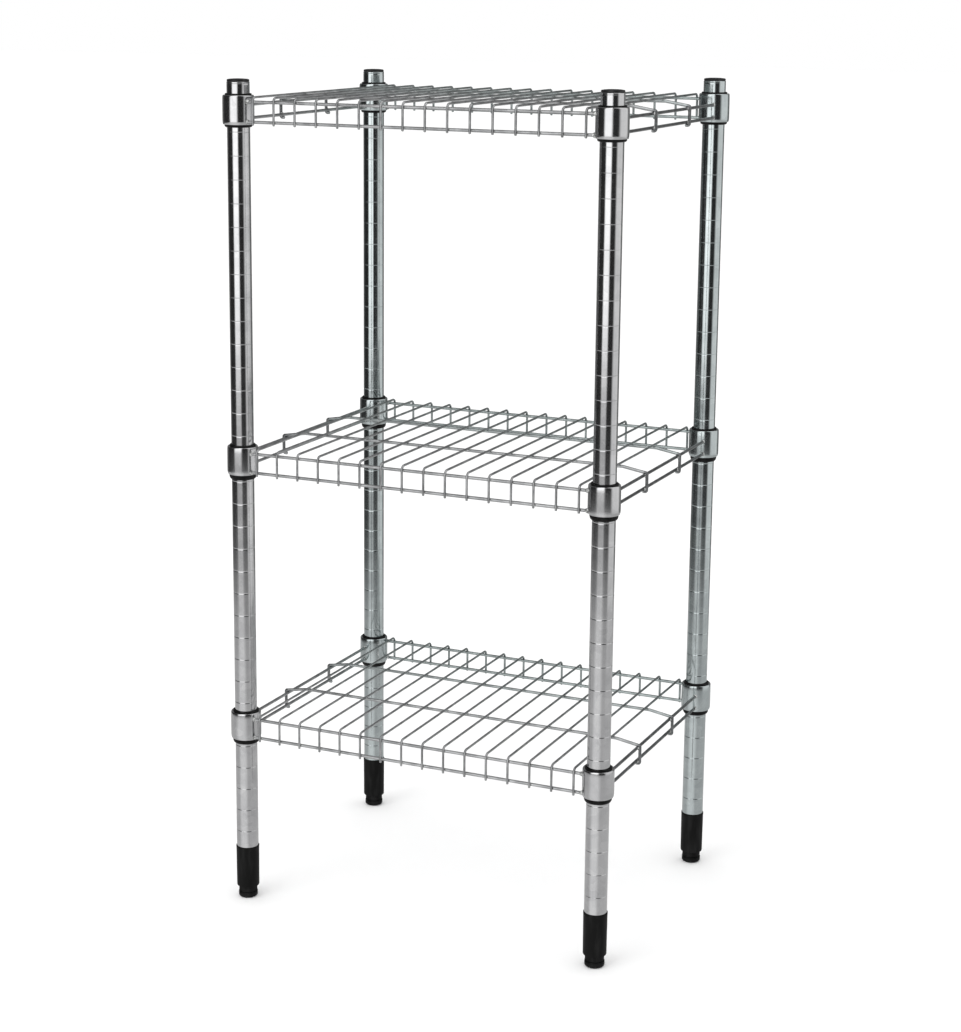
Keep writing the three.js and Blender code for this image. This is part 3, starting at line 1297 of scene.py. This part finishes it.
    def add_crossing_beads(self, shell: Shell) -> None:
        """Add the beads where wires cross rails and braces.

        Args:
            shell: the mesh that they go into.
        """
        for x in self.cross_places():
            for side in (-1, 1):
                y = side * (self.half_depth + self.rail_offset + self.rail_radius)
                for z in (self.top_rail, self.bottom_rail):
                    reach = self.bead_reach(self.rail_bead)
                    shell.nugget(Vector((x, y, z)), reach, self.rough_lumps)
            for y in self.brace_places():
                place = Vector((x, y, self.deck - self.cross_radius))
                shell.nugget(place, self.bead_reach(self.brace_bead), self.smooth_lumps)
        for y in self.brace_places():
            for side in (-1, 1):
                x = side * (self.half_width + self.side_offset + self.rail_radius)
                for z in (self.side_top, self.side_bottom):
                    reach = self.bead_reach(self.hook_bead)
                    shell.nugget(Vector((x, y, z)), reach, self.rough_lumps)

    def add_end_bead(self, shell: Shell, tip: Vector, inward: Vector) -> None:
        """Add the bead that joins a rail to its collar.

        Args:
            shell: the mesh that it goes into.
            tip: the rail's end.
            inward: unit vector along the rail, away from that end.
        """
        across, _, upright = self.end_bead
        stretch = self.end_bead_stretch
        reach = Vector([across * self.bead + stretch * self.bead * abs(part) for part in inward])
        reach.z = upright * self.bead
        collar = min(self.collars.values(), key=lambda size: (size.axis - tip).to_2d().length)
        seat = partial(collar.clear_of, radius=collar.radius - self.weld_depth)
        shell.nugget(tip + inward * self.end_inset, reach, self.end_lumps, seat)

    def build_welds(self) -> None:
        """Build the weld beads: wire crossings, rail ends and collar seams."""
        shell = Shell()
        self.add_crossing_beads(shell)
        for start, end in self.rails():
            along = (end - start).normalized()
            self.add_end_bead(shell, start, along)
            self.add_end_bead(shell, end, -along)
        for corner, size in self.collars.items():
            foot = size.axis + corner.inward * (size.radius - self.seam_inset)
            heights = (size.bottom + self.seam_margin, size.top - self.seam_margin)
            seam = [foot + Vector((0, 0, height)) for height in heights]
            shell.swept(seam, self.seam_radius, self.seam_sides)
        fit_piece(shell, f"welds_{self.level.value}", self.weld, self.body)

    def build_collar(self, corner: Corner) -> None:
        """Build one collar: a bulged taper with rolled edges.

        Args:
            corner: the post that it goes round.
        """
        size = self.collars[corner]
        bore = size.radius - self.collar_bulge - self.collar_wall
        bottom_bore = bore + self.collar_taper
        outer = outline(self.collar_rim, bottom_bore + self.collar_wall, size.bottom)
        outer += outline(self.collar_foot, size.radius, size.bottom)
        outer.append((size.radius, (size.bottom + size.top) / 2))
        outer += outline(self.collar_head, size.radius, size.top)
        rounded = filleted(outer, self.collar_rounding, self.collar_arc_steps)
        ring = [(bottom_bore, size.bottom), *((point.x, point.y) for point in rounded)]
        ring += [(bore - self.collar_taper, size.top), ring[0]]
        shell = Shell()
        shell.turned(ring, size.axis)
        place = f"{self.level.value}_{corner.label}"
        node = f"collar_{place}"
        fit_piece(shell, f"socket_{place}", self.collar_steel, self.body, node)

    def build(self) -> None:
        """Build the shelf's pieces."""
        self.build_wires()
        self.build_welds()
        for corner in Corner:
            self.build_collar(corner)


# ---- Studio ----


class Room:
    """Masks on the directions in which a ray leaves the rack."""

    def __init__(self, graph: Graph) -> None:
        """Split the direction into its height and its heading.

        Args:
            graph: the world's graph.
        """
        way = graph.node("ShaderNodeTexCoord")["Generated"]
        self.graph = graph
        self.height = graph.node("ShaderNodeSeparateXYZ", {}, {"Vector": way})["Z"]
        self.heading = graph.vector("NORMALIZE", graph.vector("MULTIPLY", way, (1, 1, 0)))

    def band(self, centre: float, half: float, soft: float) -> Value:
        """Mask a stretch of the room about the vertical.

        Args:
            centre: its middle, in degrees from +X.
            half: half its width in degrees.
            soft: degrees on either side of its edges over which it fades.

        Returns:
            The mask.
        """
        turn = math.radians(centre)
        links = {0: self.heading, 1: (math.cos(turn), math.sin(turn), 0)}
        outputs = self.graph.node("ShaderNodeVectorMath", {"operation": "DOT_PRODUCT"}, links)
        outside = math.cos(math.radians(half + soft))
        inside = math.cos(math.radians(half - soft))
        return outputs["Value"].above(outside, inside)

    def rise(self, low: float, high: float) -> Value:
        """Mask that comes in between two elevations, in degrees."""
        return self.height.above(math.sin(math.radians(low)), math.sin(math.radians(high)))


@dataclass
class Studio:
    """Pale floor, soft light and the camera. Bands and edges are in degrees."""

    floor_half: float = 25.0
    camera_place: Point = (1.0008, -2.2340, 1.0427)
    camera_turn: float = math.radians(24.625)
    camera_dip: float = math.radians(11.757)
    camera_roll: float = math.radians(0.446)
    lens: float = 76.385
    shift_x: float = 0.0198
    shift_y: float = -0.075
    key_place: Point = (-0.9, -2.4, 3.2)
    key_aim: Point = (0.0, 0.0, 0.4)
    key_side: float = 2.2
    key_power: float = 30.0
    overhead_power: float = 0.55
    overhead_spread: float = math.radians(120)
    room_tone: float = 1.0
    gap_tone: float = 0.03
    wall_tone: float = 0.90
    back_tone: float = 0.17
    softbox_tone: float = 1.3
    apron_tone: float = 0.42
    ceiling_tone: float = 0.3
    floor_tone: float = 0.61
    floor_glow: float = 0.36
    softbox_band: Point = (-96.0, 25.5, 8.0)
    glow_band: Point = (-97.0, 27.5, 26.0)
    wall_band: Point = (17.5, 33.5, 12.0)
    back_band: Point = (105.0, 60.0, 20.0)
    softbox_foot: Point = (-11.0, -8.8)
    floor_edge: Point = (-16.4, -14.8)
    ceiling_edge: Point = (35.0, 60.0)

    def build_floor(self) -> None:
        """Lay the floor."""
        half = self.floor_half
        corners = [(-half, -half, 0.0), (half, -half, 0.0), (half, half, 0.0), (-half, half, 0.0)]
        mesh = bpy.data.meshes.new("floor")
        mesh.from_pydata(corners, [], [(0, 1, 2, 3)])
        mesh.materials.append(PaleFloor("pale_floor").make())
        floor = bpy.data.objects.new("floor", mesh)
        bpy.context.scene.collection.objects.link(floor)
        floor.visible_glossy = False

    def build_surroundings(self) -> None:
        """Light the room.

        Matt surfaces see an even white room. Mirroring ones see what stands in a studio: a tall
        softbox, a grey wall, dark gaps between them, and the pale floor below.
        """
        world = bpy.data.worlds.new("studio")
        world.use_nodes = True
        bpy.context.scene.world = world
        graph = Graph(world.node_tree)
        room = Room(graph)
        walls = self.gap_tone + self.wall_tone * room.band(*self.wall_band)
        walls += self.back_tone * room.band(*self.back_band)
        apron = self.apron_tone + self.softbox_tone * room.rise(*self.softbox_foot)
        lit = room.band(*self.softbox_band) * apron
        upper = walls + lit + self.ceiling_tone * room.rise(*self.ceiling_edge)
        floor = self.floor_tone + self.floor_glow * room.band(*self.glow_band)
        above = room.rise(*self.floor_edge)
        mirrored = upper * above + floor * (1 - above)
        glossy = graph.node("ShaderNodeLightPath")["Is Glossy Ray"]
        strength = self.room_tone * (1 - glossy) + mirrored * glossy
        links = {"Color": (*WHITE, 1.0), "Strength": strength}
        shader = graph.node("ShaderNodeBackground", {}, links)["Background"]
        graph.node("ShaderNodeOutputWorld", {}, {"Surface": shader})

    def hang(self, name: str, light: bpy.types.Light) -> bpy.types.Object:
        """Link a light that brightens matt surfaces and leaves mirrors to the room.

        Args:
            name: the light's name.
            light: its data.

        Returns:
            The light's object.
        """
        lamp = bpy.data.objects.new(name, light)
        lamp.visible_glossy = False
        bpy.context.scene.collection.objects.link(lamp)
        return lamp

    def build_key(self) -> None:
        """Hang the square softbox."""
        light = bpy.data.lights.new("key_softbox", "AREA")
        light.energy = self.key_power
        light.size = self.key_side
        softbox = self.hang("key_softbox", light)
        softbox.location = self.key_place
        way = Vector(self.key_aim) - Vector(self.key_place)
        softbox.rotation_euler = way.to_track_quat("-Z", "Y").to_euler()

    def build_overhead(self) -> None:
        """Add an even, very soft light from above that whitens the floor."""
        light = bpy.data.lights.new("overhead", "SUN")
        light.energy = self.overhead_power
        light.angle = self.overhead_spread
        self.hang("overhead", light)

    def build_camera(self) -> None:
        """Place the camera."""
        data = bpy.data.cameras.new("camera")
        data.lens = self.lens
        data.shift_x = self.shift_x
        data.shift_y = self.shift_y
        camera = bpy.data.objects.new("camera", data)
        turn = Matrix.Rotation(self.camera_turn, 4, "Z")
        tilt = Matrix.Rotation(math.pi / 2 - self.camera_dip, 4, "X")
        roll = Matrix.Rotation(self.camera_roll, 4, "Z")
        camera.matrix_world = Matrix.Translation(self.camera_place) @ turn @ tilt @ roll
        bpy.context.scene.collection.objects.link(camera)
        bpy.context.scene.camera = camera

    def build(self) -> None:
        """Set the stage."""
        self.build_floor()
        self.build_surroundings()
        self.build_key()
        self.build_overhead()
        self.build_camera()
        bpy.context.scene.view_settings.view_transform = "Standard"


def main() -> None:
    """Build the studio and the rack."""
    logging.basicConfig(level=logging.INFO)
    Studio().build()
    tube_steel = GalvanisedSteel("post_zinc").make()
    collar_steel = GalvanisedSteel("collar_zinc", gloss=0.10, dullness=0.10).make()
    wire = ZincWire("wire_zinc").make()
    weld = WeldMetal("weld_metal").make()
    cap_plastic = BlackPlastic("cap_black").make()
    clip_plastic = InkyPlastic("clip_black", roughness=0.36).make()
    foot_plastic = InkyPlastic("foot_black", roughness=0.46).make()
    for corner in Corner:
        Post(corner, tube_steel, cap_plastic).build()
        Foot(corner, foot_plastic).build()
    for level in Level:
        Shelf(level, collar_steel, wire, weld).build()
        for corner in Corner:
            WedgeClips(corner, level, clip_plastic).build()


if __name__ == "__main__":
    main()
